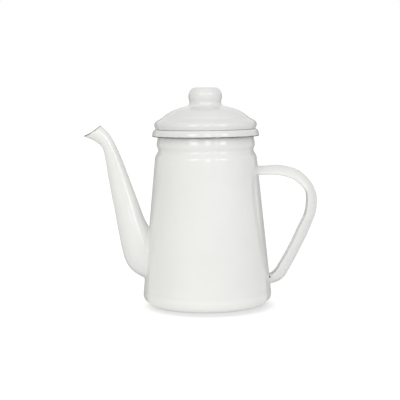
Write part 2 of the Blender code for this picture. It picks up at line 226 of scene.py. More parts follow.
# Each piece's enamel. The body and the base share a seed, so their clouds run on across the seam.
# Some pieces carry painted light and shade: a tint for the whole piece, paler colour low on the
# foot, darker colour on the rim, and a dark spot at the strap's foot that is partly painted shade
enamels = {
    "body_enamel": {"seed": 0.0, "bare_and_pit_shade_reach": 1.05, "painted_rim_shade": True},
    "base_enamel": {"seed": 0.0, "painted_foot_light": True},
    "spout_enamel": {"seed": 2.1, "painted_light_share": SPOUT_PAINTED_LIGHT, "bare_and_pit_shade_reach": 0.85},
    "handle_enamel": {"seed": 3.7, "painted_light_share": STRAP_PAINTED_SHADE, "bare_and_pit_shade_reach": 1.15, "gloss": STRAP_GLOSS},
    "lid_enamel": {"seed": 4.9, "painted_light_share": LID_PAINTED_SHADE},
    "ring_enamel": {"seed": 5.3, "painted_light_share": LID_PAINTED_SHADE},
    "knob_enamel": {"seed": 6.1, "painted_light_share": KNOB_PAINTED_SHADE},
}

# Paper under the pot
WHITE = (1.0, 1.0, 1.0, 1.0)
FLOOR_HALF = 6.0
FLOOR_DROP = 0.1 * MM
FLOOR_COLOUR = 0.97
FLOOR_SHADE = 0.22

# Painted shadow on the paper: its glow is weaker round the foot and rises outwards about a centre
# that stands a little to the front right
FLOOR_GLOW_IN_PAINTED_SHADOW = 0.60
FLOOR_GLOW_FAR = 0.92
PAINTED_SHADOW_INNER = 0.050
PAINTED_SHADOW_OUTER = 0.0735
PAINTED_SHADOW_CENTRE = (0.0025, -0.0155, 0.0)

# Outline of the flag, outwards and up: half its angle about the pot, its radius and its height
flag_line = (
    (104.0, 0.066, 0.0005),
    (84.0, 0.1, 0.0005),
    (62.0, 0.22, 0.0005),
    (58.0, 0.22, 0.06),
    (53.5, 0.22, 0.23),
)
FLAG_STEPS = 24
FLAG_GREY = 0.42

# Light of the world: tint from left to right, even part, lean to the front and up, and least
FILL_LEFT = (1.0, 1.0, 0.94, 1.0)
FILL_RIGHT = WHITE
FILL_SPAN = (-0.6, 0.6)
FILL_EVEN = 0.225
FILL_LEAN = (-0.055, -0.53, 0.57)
FILL_LEAST = 0.11

# Each softbox: side angle from the camera, angular width, lower and upper elevation, brightness
softboxes = (
    (-29.0, 18.0, 13.0, 36.0, 2.5),
    (4.3, 10.0, 9.5, 36.0, 2.2),
    (25.5, 3.5, 13.0, 36.0, 2.7),
    (42.0, 14.0, 13.0, 36.0, 2.75),
)
LAMP_DISTANCE = 3.0
LAMP_AIM_HEIGHT = 0.12

# Camera
CAMERA_BACK = 1.2
CAMERA_HEIGHT = 0.220734
CAMERA_SIDE = -6.36 * MM
CAMERA_DIP = math.radians(5.546853)
CAMERA_ROLL = math.radians(-0.68)
SENSOR_WIDTH = 36.0
FOCAL_PIXELS = 1206
PICTURE_PIXELS = 400

# Sections of the spout and of the strap: reach and height of the inner and outer edges, and width
spout_section_shares = (
    (-0.167, 0.186, -0.050, 0.000, 1.00),
    (-0.119, 0.265, 0.107, 0.029, 1.00),
    (-0.078, 0.310, 0.245, 0.067, 0.99),
    (-0.045, 0.343, 0.340, 0.121, 0.96),
    (-0.012, 0.366, 0.401, 0.199, 0.92),
    (0.046, 0.414, 0.477, 0.363, 0.80),
    (0.134, 0.512, 0.520, 0.466, 0.68),
    (0.240, 0.628, 0.576, 0.583, 0.58),
    (0.339, 0.738, 0.622, 0.699, 0.51),
    (0.417, 0.816, 0.657, 0.790, 0.47),
    (0.478, 0.870, 0.691, 0.850, 0.45),
    (0.537, 0.918, 0.756, 0.886, 0.45),
    (0.613, 0.962, 0.862, 0.914, 0.47),
    (0.722, 1.003, 1.000, 0.937, 0.50),
)

handle_section_shares = (
    (-0.161, 0.930, -0.148, 0.994, 0.74),
    (0.062, 0.928, 0.078, 0.993, 0.74),
    (0.349, 0.925, 0.366, 0.999, 0.84),
    (0.580, 0.895, 0.639, 0.971, 0.93),
    (0.683, 0.861, 0.780, 0.930, 0.97),
    (0.784, 0.812, 0.907, 0.862, 1.00),
    (0.833, 0.772, 0.978, 0.791, 1.00),
    (0.837, 0.728, 1.000, 0.724, 1.00),
    (0.823, 0.674, 0.985, 0.667, 1.00),
    (0.791, 0.614, 0.953, 0.598, 1.00),
    (0.742, 0.558, 0.881, 0.527, 1.00),
    (0.626, 0.467, 0.773, 0.430, 1.00),
    (0.499, 0.363, 0.639, 0.325, 1.00),
    (0.366, 0.262, 0.507, 0.224, 0.98),
    (0.230, 0.170, 0.364, 0.122, 0.94),
    (0.141, 0.114, 0.259, 0.055, 0.88),
    (0.058, 0.080, 0.150, 0.020, 0.83),
    (-0.014, 0.070, 0.031, 0.003, 0.79),
    (-0.134, 0.067, -0.133, 0.000, 0.75),
)

# Outlines of the knob, the dome and the lid's bead: how far out and how far up or down
knob_outline_shares = (
    (1.020, 0.050),
    (0.970, 0.115),
    (0.946, 0.200),
    (0.957, 0.285),
    (0.992, 0.400),
    (1.000, 0.480),
    (0.988, 0.650),
    (0.895, 0.842),
    (0.765, 0.952),
    (0.634, 0.993),
    (0.330, 1.000),
    (0.000, 1.000),
)

dome_outline_shares = (
    (0.000, 0.000),
    (0.140, 0.072),
    (0.420, 0.250),
    (0.600, 0.412),
    (0.740, 0.580),
    (0.864, 0.752),
    (0.960, 0.915),
    (1.000, 1.000),
)

lid_bead_shares = (
    (0.000, 1.000),
    (0.260, 0.885),
    (0.600, 0.758),
    (0.895, 0.592),
    (1.000, 0.360),
    (0.930, 0.170),
)

low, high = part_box("pot_body")
AXIS_X = (low.x + high.x) / 2
WALL_SLOPE = (SHOULDER[0] - FOOT[0]) / (SHOULDER[1] - FOOT[1])


# Curves


def ease(start, end, start_slope, end_slope, steps):
    """Points from start to end, radius against height, with the given slopes at the two ends."""
    run = end[1] - start[1]
    points = []
    for step in range(steps + 1):
        t = step / steps
        radius = (
            start[0] * (2 * t**3 - 3 * t**2 + 1)
            + start_slope * run * (t**3 - 2 * t**2 + t)
            + end[0] * (3 * t**2 - 2 * t**3)
            + end_slope * run * (t**3 - t**2)
        )
        points.append((radius, start[1] + run * t))
    return points


def arc(centre, radii, start, end, steps):
    """Points on an ellipse about centre from angle start to angle end, in radians."""
    points = []
    for step in range(steps + 1):
        angle = start + (end - start) * step / steps
        out = centre[0] + radii[0] * math.cos(angle)
        points.append((out, centre[1] + radii[1] * math.sin(angle)))
    return points


def row_at(rows, place):
    """The row at a place counted in rows, on a smooth curve through the given rows."""
    last = len(rows) - 1
    index = max(min(int(place), last - 1), 0)
    t = place - index
    before = rows[max(index - 1, 0)]
    after = rows[min(index + 2, last)]
    row = []
    for a, b, c, d in zip(before, rows[index], rows[index + 1], after):
        bend = (2 * a - 5 * b + 4 * c - d) * t**2 + (3 * b - a - 3 * c + d) * t**3
        row.append(b + ((c - a) * t + bend) / 2)
    return row


def through(rows, steps):
    """Rows on a smooth curve through the given rows, with steps between each two."""
    return [row_at(rows, count / steps) for count in range(steps * (len(rows) - 1) + 1)]


def offset(points, distance):
    """The same line moved sideways, to the left of its direction for a positive distance."""
    moved = []
    last = len(points) - 1
    sharpest_share = 0.5
    for index, point in enumerate(points):
        behind = Vector(points[max(index - 1, 0)])
        here = Vector(point)
        ahead = Vector(points[min(index + 1, last)])
        arriving = (here - behind).normalized() if index > 0 else (ahead - here).normalized()
        leaving = (ahead - here).normalized() if index < last else arriving
        across = (arriving + leaving).normalized()
        left = Vector((-across.y, across.x))
        stretch = max(left.dot(Vector((-arriving.y, arriving.x))), sharpest_share)
        moved.append(tuple(here + left * (distance / stretch)))
    return moved


def rounded_end(start, end, steps):
    """Half circle from start to end, to the right of that direction, without its two ends."""
    centre = (Vector(start) + Vector(end)) / 2
    arm = Vector(start) - centre
    points = []
    for step in range(1, steps):
        turned_arm = Matrix.Rotation(math.pi * step / steps, 2) @ arm
        points.append(tuple(centre + turned_arm))
    return points


def sheet_loop(points, thickness):
    """Closed outline of a sheet with round edges: one face on the line, the other to its left."""
    other = offset(points, thickness)
    near_end = rounded_end(points[-1], other[-1], EDGE_STEPS)
    far_end = rounded_end(other[0], points[0], EDGE_STEPS)
    return points + near_end + other[::-1] + far_end


def height_at(points, radius):
    """Height of a line at a radius, the line running out from the axis."""
    for start, end in zip(points, points[1:]):
        if start[0] <= radius <= end[0]:
            share = (radius - start[0]) / (end[0] - start[0])
            return start[1] + share * (end[1] - start[1])
    return points[-1][1]


def wall_radius(height):
    """Outside radius of the straight part of the body at a height."""
    return FOOT[0] + WALL_SLOPE * (height - FOOT[1])


def above_wall(point):
    """How far a point stands out from the body's wall."""
    return math.hypot(point.x, point.y) - wall_radius(point.z)


def wall_normal(point):
    """The wall's direction outwards, next to a point."""
    outward = Vector((point.x, point.y, 0)).normalized()
    return (outward - Vector((0, 0, WALL_SLOPE))).normalized()


def onto_wall(point, height=0.0):
    """The nearest spot to a point on the body's wall, at a small height above it."""
    lean = math.cos(math.atan(WALL_SLOPE))
    away = (above_wall(point) - height / lean) * lean
    return point - wall_normal(point) * away


# Meshes


def grid_mesh(name, rows, wrap_rows, wrap_columns, caps=False, edge_marks=None):
    """A mesh over rows of points, all of one length, with an edge distance kept on each point."""
    count = len(rows)
    width = len(rows[0])
    points = [tuple(point) for row in rows for point in row]
    faces = []
    for row in range(count if wrap_rows else count - 1):
        following = (row + 1) % count
        for column in range(width if wrap_columns else width - 1):
            beside = (column + 1) % width
            faces.append((
                row * width + column,
                row * width + beside,
                following * width + beside,
                following * width + column,
            ))
    if caps:
        faces.append(tuple(range(width))[::-1])
        faces.append(tuple((count - 1) * width + column for column in range(width)))
    mesh = bpy.data.meshes.new(name)
    mesh.from_pydata(points, [], faces)
    marks = mesh.attributes.new("edge_mm", "FLOAT", "POINT")
    if edge_marks is None:
        edge_marks = [FAR_FROM_EDGE] * len(points)
    marks.data.foreach_set("value", edge_marks)
    shape = bmesh.new()
    shape.from_mesh(mesh)
    bmesh.ops.remove_doubles(shape, verts=shape.verts, dist=MERGE_DISTANCE)
    bmesh.ops.recalc_face_normals(shape, faces=shape.faces)
    shape.to_mesh(mesh)
    shape.free()
    mesh.shade_smooth()
    mesh.set_sharp_from_angle(angle=CREASE)
    return mesh


def add_piece(name, mesh, material, body, *nodes):
    """A piece that stands for CAD nodes, placed on the pot's axis."""
    obj = bpy.data.objects.new(name, mesh)
    bpy.context.scene.collection.objects.link(obj)
    obj.location.x = AXIS_X
    mesh.materials.append(material)
    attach(obj, body)
    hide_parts(*nodes)
    return obj


def turned_mesh(name, line, steps, closed=True, marks=None):
    """A turned mesh from an outline of radii and heights."""
    rows = []
    for radius, height in line:
        row = []
        for step in range(steps):
            angle = 2 * math.pi * step / steps
            row.append((radius * math.cos(angle), radius * math.sin(angle), height))
        rows.append(row)
    edge_marks = None
    if marks:
        edge_marks = [mark for mark in marks for step in range(steps)]
    return grid_mesh(name, rows, closed, True, edge_marks=edge_marks)


def distances_from(line, start, reach):
    """Distances in millimetres along a closed outline from its point at start, up to reach."""
    marks = [FAR_FROM_EDGE] * len(line)
    marks[start] = 0.0
    for direction in (1, -1):
        walked = 0.0
        index = start
        while walked < reach:
            ahead = (index + direction) % len(line)
            walked += (Vector(line[ahead]) - Vector(line[index])).length / MM
            index = ahead
            marks[index] = min(marks[index], walked)
    return marks


# Body


def rim_line():
    """Upper face of the rolled rim, from its lip over the crown to the inside of the neck."""
    neck_inside = NECK[0] - SHEET
    centre = (RIM_CROWN_RADIUS, RIM_HEIGHT - RIM_ROLL_DEPTH)
    outer_radii = (RIM_RADIUS - RIM_CROWN_RADIUS, RIM_ROLL_DEPTH)
    inner_centre = (RIM_CROWN_RADIUS, RIM_HEIGHT - RIM_INNER_ROLL_DEPTH)
    inner_radii = (RIM_CROWN_RADIUS - neck_inside, RIM_INNER_ROLL_DEPTH)
    lip = [(RIM_RADIUS, centre[1] - RIM_LIP_DROP + SHEET / 2)]
    outer = arc(centre, outer_radii, 0, math.pi / 2, ROLL_STEPS)
    inner = arc(inner_centre, inner_radii, math.pi / 2, math.pi, ROLL_STEPS)
    return lip + [spot for spot in outer if spot[1] > lip[0][1]] + inner[1:]


def wall_line():
    """Outside of the body from the neck under the rim down to the base pan."""
    end_height = PAN_SEAM_HEIGHT - PAN_OVERLAP
    seam = (wall_radius(end_height), end_height)
    top, waist, brow = NECK_SLOPES
    line = ease(NECK, NECK_FOOT, top, waist, WAVE_STEPS)
    line += ease(NECK_FOOT, BEAD_BROW, waist, brow, WAVE_STEPS)[1:]
    line += ease(BEAD_BROW, BEAD, brow, 0, WAVE_STEPS)[1:]
    line += ease(BEAD, GROOVE, 0, 0, WAVE_STEPS)[1:]
    line += ease(GROOVE, SHOULDER, 0, WALL_SLOPE, WAVE_STEPS)[1:]
    line += ease(SHOULDER, seam, WALL_SLOPE, WALL_SLOPE, WALL_STEPS)[1:]
    return line


def make_strainer_cutter():
    """Punches for the strainer: rows of holes side by side, each row half a pitch off the last."""
    row_rise = STRAINER_PITCH * math.sin(STRAINER_STAGGER)
    shape = bmesh.new()
    turn = Vector((0, 0, 1)).rotation_difference(Vector((-1, 0, 0))).to_matrix()
    for row, count in enumerate(STRAINER_ROWS):
        height = STRAINER_HEIGHT + (row - (len(STRAINER_ROWS) - 1) / 2) * row_rise
        for column in range(count):
            side = (column - (count - 1) / 2) * STRAINER_PITCH
            made = bmesh.ops.create_cone(
                shape,
                cap_ends=True,
                segments=HOLE_SIDES,
                radius1=STRAINER_HOLE_RADIUS,
                radius2=STRAINER_HOLE_RADIUS,
                depth=STRAINER_DEPTH,
            )
            bmesh.ops.rotate(shape, verts=made["verts"], cent=(0, 0, 0), matrix=turn)
            centre = Vector((-wall_radius(height), side, height))
            bmesh.ops.translate(shape, verts=made["verts"], vec=centre)
    mesh = bpy.data.meshes.new("strainer_cutter")
    shape.to_mesh(mesh)
    shape.free()
    cutter = bpy.data.objects.new("strainer_cutter", mesh)
    bpy.context.scene.collection.objects.link(cutter)
    return cutter


def cut_away(mesh, cutter):
    """The mesh with the cutter's shape taken out, and its creases marked again."""
    holder = bpy.data.objects.new("holder", mesh)
    bpy.context.scene.collection.objects.link(holder)
    boolean = holder.modifiers.new("cut", "BOOLEAN")
    boolean.operation = "DIFFERENCE"
    boolean.solver = "EXACT"
    boolean.object = cutter
    bpy.context.view_layer.update()
    graph = bpy.context.evaluated_depsgraph_get()
    made = bpy.data.meshes.new_from_object(holder.evaluated_get(graph))
    bpy.data.objects.remove(holder)
    bpy.data.objects.remove(cutter)
    made.shade_smooth()
    made.set_sharp_from_angle(angle=CREASE)
    return made


def make_body(material):
    """Body, one turned sheet from rim to base pan, with the strainer punched through it."""
    rim = rim_line()
    inside = [(radius - SHEET, height) for radius, height in wall_line()]
    loop = sheet_loop(rim + inside, SHEET)
    lip_place = len(loop) - EDGE_STEPS // 2
    marks = distances_from(loop, lip_place, RIM_MARK_REACH)
    mesh = turned_mesh("body_shell", loop, RING_STEPS, marks=marks)
    mesh = cut_away(mesh, make_strainer_cutter())
    return add_piece("body_shell", mesh, material, "pot", "pot_body")


def make_base_pan(material):
    """Dished bottom with a rounded corner, standing on a flat ring round a shallow recess."""
    lean = math.atan(-WALL_SLOPE)
    top_height = PAN_SEAM_HEIGHT - WELD_GAP
    top = (wall_radius(top_height) + PAN_LAP, top_height)
    tangent_height = PAN_CORNER_RADIUS * (1 + math.sin(lean))
    corner_centre = (
        wall_radius(tangent_height) - PAN_CORNER_RADIUS * math.cos(lean),
        PAN_CORNER_RADIUS,
    )
    corner_radii = (PAN_CORNER_RADIUS, PAN_CORNER_RADIUS)
    corner = arc(corner_centre, corner_radii, lean, -math.pi / 2, CORNER_STEPS)
    ring_inside = corner_centre[0] - FOOT_RING_WIDTH
    outside = [top] + corner + [
        (ring_inside, 0),
        (ring_inside - FOOT_RECESS_RUN, FOOT_RECESS),
        (0, FOOT_RECESS),
    ]
    inside = offset(outside, -SHEET)
    inside[0] = (top[0] - SHEET, top[1])
    inside[-1] = (0, FOOT_RECESS + SHEET)
    mesh = turned_mesh("base", outside[::-1] + inside, RING_STEPS, closed=False)
    return add_piece("base", mesh, material, "pot", "base_pan")


# Shapes that grow out of the wall


def crossing(place_to_point, inside_place, outside_place):
    """The place where a line crosses the wall, between a place inside it and one outside."""
    for halving in range(HALVINGS):
        middle = (inside_place + outside_place) / 2
        if above_wall(place_to_point(middle)) < 0:
            inside_place = middle
        else:
            outside_place = middle
    return outside_place


def fillet_rows(feet, starts, size, steps):
    """Rows of a fillet from a skirt in the wall over the feet to the points in starts.

    The feet run round a closed line on the wall.
    """
    count = len(feet)
    centre = sum(feet, Vector()) / count
    spread = []
    for index, foot in enumerate(feet):
        along = feet[(index + 1) % count] - feet[index - 1]
        across = wall_normal(foot).cross(along).normalized()
        spread.append(across)
    outward_sum = sum(spread[index].dot(feet[index] - centre) for index in range(count))
    reach = size if outward_sum > 0 else -size
    rows = []
    for step in range(steps):
        t = step / steps
        row = []
        for foot, start, across in zip(feet, starts, spread):
            end = onto_wall(foot + across * reach)
            row.append(end * (1 - t) ** 2 + foot * (2 * t * (1 - t)) + start * t**2)
        rows.append(row)
    skirt = []
    for foot, across in zip(feet, spread):
        skirt.append(onto_wall(foot + across * (reach * SKIRT_REACH_SHARE), -SKIRT_DEPTH))
    return [skirt] + rows


def spout_point(place, angle, inset):
    """A point of the spout at a place along it, an angle from its outer edge and an inset."""
    row = row_at(spout_section_shares, place)
    root_wall = wall_radius(SPOUT_ROOT_HEIGHT)
    inner = Vector((-root_wall - SPOUT_REACH * row[0], 0, SPOUT_LOW_HEIGHT + SPOUT_RISE * row[1]))
    outer = Vector((-root_wall - SPOUT_REACH * row[2], 0, SPOUT_LOW_HEIGHT + SPOUT_RISE * row[3]))
    centre = (inner + outer) / 2
    outward = (outer - inner).normalized()
    onward = Vector((outward.z, 0, -outward.x))
    if onward.z < 0:
        onward = -onward
    half_depth = (outer - inner).length / 2 - inset
    half_width = SPOUT_ROOT_WIDTH * row[4] / 2 - inset
    last = len(spout_section_shares) - 1
    near_mouth = max(1 - (last - place) / SPOUT_MOUTH_RUN, 0) ** 2
    bulge = onward * (SPOUT_MOUTH_BULGE * near_mouth * math.sin(angle) ** 2)
    return (
        centre
        + outward * (half_depth * math.cos(angle))
        + Vector((0, half_width * math.sin(angle), 0))
        + bulge
    )


def make_spout(material):
    """Spout with its bore and its rounded lip, flowing out onto the body's wall."""
    angles = [2 * math.pi * step / SPOUT_AROUND for step in range(SPOUT_AROUND)]
    last = len(spout_section_shares) - 1
    mouth_place = last - SPOUT_MOUTH_TRIM
    outside_rows = [[] for count in range(SPOUT_ALONG + 1)]
    inside_rows = [[] for count in range(SPOUT_ALONG + 1)]
    feet = []
    for angle in angles:
        foot_place = crossing(lambda place: spout_point(place, angle, 0), 0, SPOUT_CLEAR_ROW)
        foot = spout_point(foot_place, angle, 0)
        feet.append(foot)
        ahead = spout_point(foot_place + SPOUT_PACE_STEP, angle, 0)
        pace = (ahead - foot).length / SPOUT_PACE_STEP
        start_place = foot_place + SPOUT_FILLET / pace
        inner_place = crossing(lambda place: spout_point(place, angle, SHEET), 0, SPOUT_CLEAR_ROW)
        for count in range(SPOUT_ALONG + 1):
            share = count / SPOUT_ALONG
            outside_rows[count].append(
                spout_point(start_place + (mouth_place - start_place) * share, angle, 0)
            )
            inside_rows[count].append(
                spout_point(inner_place + (mouth_place - inner_place) * share, angle, SHEET)
            )
    fillet = fillet_rows(feet, outside_rows[0], SPOUT_FILLET, FILLET_STEPS)
    lip = []
    for step in range(1, EDGE_STEPS + 2):
        turn = math.pi * step / (EDGE_STEPS + 2)
        row = []
        for index in range(SPOUT_AROUND):
            outer = outside_rows[-1][index]
            inner = inside_rows[-1][index]
            onward = (outer - outside_rows[-2][index]).normalized()
            centre = (outer + inner) / 2
            row.append(
                centre
                + (outer - centre) * math.cos(turn)
                + onward * ((outer - centre).length * math.sin(turn))
            )
        lip.append(row)
    rows = fillet + outside_rows + lip + inside_rows[::-1]
    lip_start = len(fillet) + len(outside_rows)
    lip_middle = lip_start + len(lip) // 2
    edge_marks = []
    for index, row in enumerate(rows):
        gap = abs(index - lip_middle)
        for column in range(SPOUT_AROUND):
            if gap > LIP_MARK_ROWS:
                edge_marks.append(FAR_FROM_EDGE)
            else:
                edge_marks.append((row[column] - rows[lip_middle][column]).length / MM)
    mesh = grid_mesh("spout", rows, True, True, edge_marks=edge_marks)
    return add_piece("spout", mesh, material, "pot", "spout_near_half", "spout_far_half")


def handle_point(reach_share, height_share):
    """A point in the strap's middle plane, from its shares of the reach and the rise."""
    height = HANDLE_LOW_HEIGHT + HANDLE_RISE * height_share
    return Vector((wall_radius(height) + HANDLE_REACH * reach_share, 0, height))


def handle_outline():
    """Closed outline of the strap's section: angles round the curl and depth into the sheet."""
    outline = []
    half = HANDLE_SHEET / 2
    for step in range(HANDLE_AROUND + 1):
        outline.append((2 * step / HANDLE_AROUND - 1, 0.0, 0.0))
    for step in range(1, EDGE_STEPS):
        turn = math.pi * step / EDGE_STEPS
        outline.append((1.0, half * (1 - math.cos(turn)), half * math.sin(turn)))
    for step in range(HANDLE_AROUND + 1):
        outline.append((1 - 2 * step / HANDLE_AROUND, HANDLE_SHEET, 0.0))
    for step in range(1, EDGE_STEPS):
        turn = math.pi * step / EDGE_STEPS
        outline.append((-1.0, half * (1 + math.cos(turn)), half * math.sin(turn)))
    return outline


def strap_point(place, share, depth, beyond):
    """A point of the strap at a place, a share of its curl, a depth and a reach past the lip."""
    row = row_at(handle_section_shares, place)
    inner = handle_point(row[0], row[1])
    outer = handle_point(row[2], row[3])
    outward = (outer - inner).normalized()
    rise = (outer - inner).length / (1 - math.cos(HANDLE_CURL))
    half_width = HANDLE_WIDTH * row[4] / 2
    centre = outer - outward * rise
    angle = HANDLE_CURL * share
    edge = Vector((rise * math.cos(angle), half_width * math.sin(angle)))
    normal = Vector((math.cos(angle) / rise, math.sin(angle) / half_width)).normalized()
    tangent = Vector((-normal.y, normal.x)) * (1 if share > 0 else -1)
    spot = edge - normal * depth + tangent * beyond
    return centre + outward * spot.x + Vector((0, spot.y, 0))


def make_handle(material):
    """Open strap, its lips turned in, flowing out onto the body's wall at both feet."""
    outline = handle_outline()
    last = len(handle_section_shares) - 1
    middle = last / 2
    strap_rows = [[] for count in range(HANDLE_ALONG + 1)]
    upper_feet = []
    lower_feet = []
    for spot in outline:
        upper = crossing(lambda place: strap_point(place, *spot), 0, middle)
        lower = crossing(lambda place: strap_point(place, *spot), last, middle)
        upper_feet.append(strap_point(upper, *spot))
        lower_feet.append(strap_point(lower, *spot))
        upper_ahead = strap_point(upper + HANDLE_PACE_STEP, *spot)
        lower_ahead = strap_point(lower - HANDLE_PACE_STEP, *spot)
        upper_pace = (upper_ahead - upper_feet[-1]).length / HANDLE_PACE_STEP
        lower_pace = (lower_ahead - lower_feet[-1]).length / HANDLE_PACE_STEP
        start = upper + HANDLE_FILLET / upper_pace
        end = lower - HANDLE_FILLET / lower_pace
        for count in range(HANDLE_ALONG + 1):
            place = start + (end - start) * count / HANDLE_ALONG
            strap_rows[count].append(strap_point(place, *spot))
    upper_fillet = fillet_rows(upper_feet, strap_rows[0], HANDLE_FILLET, FILLET_STEPS)
    lower_fillet = fillet_rows(lower_feet, strap_rows[-1], HANDLE_FILLET, FILLET_STEPS)
    rows = upper_fillet + strap_rows + lower_fillet[::-1]
    # A dark spot at the strap's lower foot: partly bare steel, partly painted shade of the hollow
    # where the channel meets the wall.
    shaded_pit_spot = lower_feet[SHADED_PIT_COLUMN]
    shaded_pit_distances = [(point - shaded_pit_spot).length / MM for row in rows for point in row]
    mesh = grid_mesh("handle", rows, False, True, caps=True, edge_marks=shaded_pit_distances)
    return add_piece("handle", mesh, material, "pot", "handle_strap")


# Lid


def lid_line():
    """Outside of the lid, from the knob's vent over the dome and the bead to the rim."""
    dome_run = DOME_RADIUS - DOME_CROWN_RADIUS
    dome_fall = DOME_CROWN_HEIGHT - DOME_FOOT_HEIGHT
    bead_run = LID_BEAD_RADIUS - DOME_RADIUS
    bead_fall = DOME_FOOT_HEIGHT - LID_SEAT_GAP
    crown = [
        (DOME_CROWN_RADIUS + dome_run * out, DOME_CROWN_HEIGHT - dome_fall * down)
        for out, down in through(dome_outline_shares, SHARE_STEPS)
    ]
    bead = [
        (DOME_RADIUS + bead_run * out, LID_SEAT_GAP + bead_fall * up)
        for out, up in through(lid_bead_shares, SHARE_STEPS)
    ]
    edge = (RIM_CROWN_RADIUS, LID_SEAT_GAP)
    vent = (KNOB_VENT_RADIUS, DOME_CROWN_HEIGHT)
    return [vent] + crown + bead[1:] + [edge]


def lifted(line):
    """The lid's line at its height on the rim."""
    return [(radius, height + RIM_HEIGHT) for radius, height in line]


def make_lid_cover(material):
    """Dome and bead of the lid, one turned sheet."""
    line = lid_line()
    inside = offset(line, -SHEET)
    inside[-1] = (inside[-1][0], LID_SEAT_GAP)
    loop = lifted(line + inside[::-1])
    mesh = turned_mesh("lid_cover", loop, RING_STEPS)
    return add_piece("lid_cover", mesh, material, "lid", "lid_dome")


def make_lid_collar(material):
    """Ring under the lid that drops into the neck, its top flange welded inside the bead."""
    mouth = min(GROOVE[0], NECK[0]) - SHEET
    inside = mouth - LID_FIT_GAP - SHEET
    underside = offset(lid_line(), -SHEET - WELD_GAP)
    bead_start = inside + SHEET
    flange_tip = bead_start + COLLAR_FLANGE
    line = [
        (flange_tip, height_at(underside, flange_tip)),
        (bead_start, height_at(underside, bead_start)),
        (inside, height_at(underside, bead_start) - SHEET),
        (inside, -COLLAR_DEPTH),
    ]
    loop = lifted(line + offset(line, SHEET)[::-1])
    mesh = turned_mesh("lid_ring", loop, RING_STEPS)
    return add_piece("lid_ring", mesh, material, "lid", "lid_collar")


def make_lid_knob(material):
    """Hollow pressed knob that flows out into the dome."""
    seat = DOME_CROWN_HEIGHT + WELD_GAP
    outline = through(knob_outline_shares, SHARE_STEPS)
    outside = [(KNOB_RADIUS * out, seat + KNOB_HEIGHT * up) for out, up in outline]
    dome = lid_line()
    foot_radius = outside[0][0] + KNOB_FILLET_OUT
    foot = (foot_radius, height_at(dome, foot_radius))
    inner_radius = foot_radius - KNOB_SLOPE_RUN
    inner_foot = (inner_radius, height_at(dome, inner_radius))
    slope = (Vector(inner_foot) - Vector(foot)).normalized()
    rising = (Vector(outside[1]) - Vector(outside[0])).normalized()
    reach = (Vector(outside[0]) - Vector(foot)).length * KNOB_FILLET_PULL
    first = Vector(foot)
    second = first + slope * reach
    fourth = Vector(outside[0])
    third = fourth - rising * reach * KNOB_FILLET_RISE
    fillet = []
    for step in range(FILLET_STEPS):
        t = step / FILLET_STEPS
        fillet.append(tuple(
            first * (1 - t) ** 3
            + second * (3 * t * (1 - t) ** 2)
            + third * (3 * t**2 * (1 - t))
            + fourth * t**3
        ))
    skirt_radius = foot_radius + KNOB_SKIRT_OUT
    skirt = (skirt_radius, height_at(dome, skirt_radius) - KNOB_SKIRT_DEPTH)
    outside = [skirt] + fillet + outside
    inside = offset(outside, SHEET)
    inside[-1] = (0, outside[-1][1] - SHEET)
    seat_inside = [spot for spot in inside if spot[1] > seat]
    line = lifted(outside[::-1] + seat_inside)
    mesh = turned_mesh("lid_knob_cap", line, KNOB_STEPS, closed=False)
    return add_piece("lid_knob_cap", mesh, material, "lid", "lid_knob")


# Node trees


def fresh_tree(holder):
    """The empty node tree of a material or a world."""
    holder.use_nodes = True
    holder.node_tree.nodes.clear()
    return holder.node_tree


def add_node(tree, kind, sockets=None, **settings):
    """A node with its settings. Each socket takes a value or the output of another node."""
    made = tree.nodes.new(kind)
    for key, value in settings.items():
        setattr(made, key, value)
    for key, value in (sockets or {}).items():
        if isinstance(value, bpy.types.NodeSocket):
            tree.links.new(value, made.inputs[key])
        else:
            made.inputs[key].default_value = value
    return made


def spread(tree, value, span_in, span_out, **settings):
    """A value carried from one span to another and held at its ends."""
    sockets = {
        "Value": value,
        "From Min": span_in[0],
        "From Max": span_in[1],
        "To Min": span_out[0],
        "To Max": span_out[1],
    }
    return add_node(tree, "ShaderNodeMapRange", sockets, **settings).outputs["Result"]


def mixed(tree, share, first, second):
    """A blend of two colours, each a tuple or the output of another node."""
    sockets = {"Factor": share}
    for place, colour in ((6, first), (7, second)):
        sockets[place] = (*colour[:3], 1.0) if isinstance(colour, tuple) else colour
    return add_node(tree, "ShaderNodeMix", sockets, data_type="RGBA").outputs[2]


def background_rays(tree):
    """1 for the rays that show the background: from the camera, off gloss and through glass."""
    path = add_node(tree, "ShaderNodeLightPath")
    total = path.outputs["Is Camera Ray"]
    for kind in ("Is Glossy Ray", "Is Transmission Ray"):
        sockets = {0: total, 1: path.outputs[kind]}
        total = add_node(tree, "ShaderNodeMath", sockets, operation="MAXIMUM").outputs[0]
    return total


def picked(tree, lighting, showing):
    """One shader for the rays that light the pot, another for those that show the background."""
    sockets = {0: background_rays(tree), 1: lighting.outputs[0], 2: showing.outputs[0]}
    return add_node(tree, "ShaderNodeMixShader", sockets).outputs[0]


# Enamel


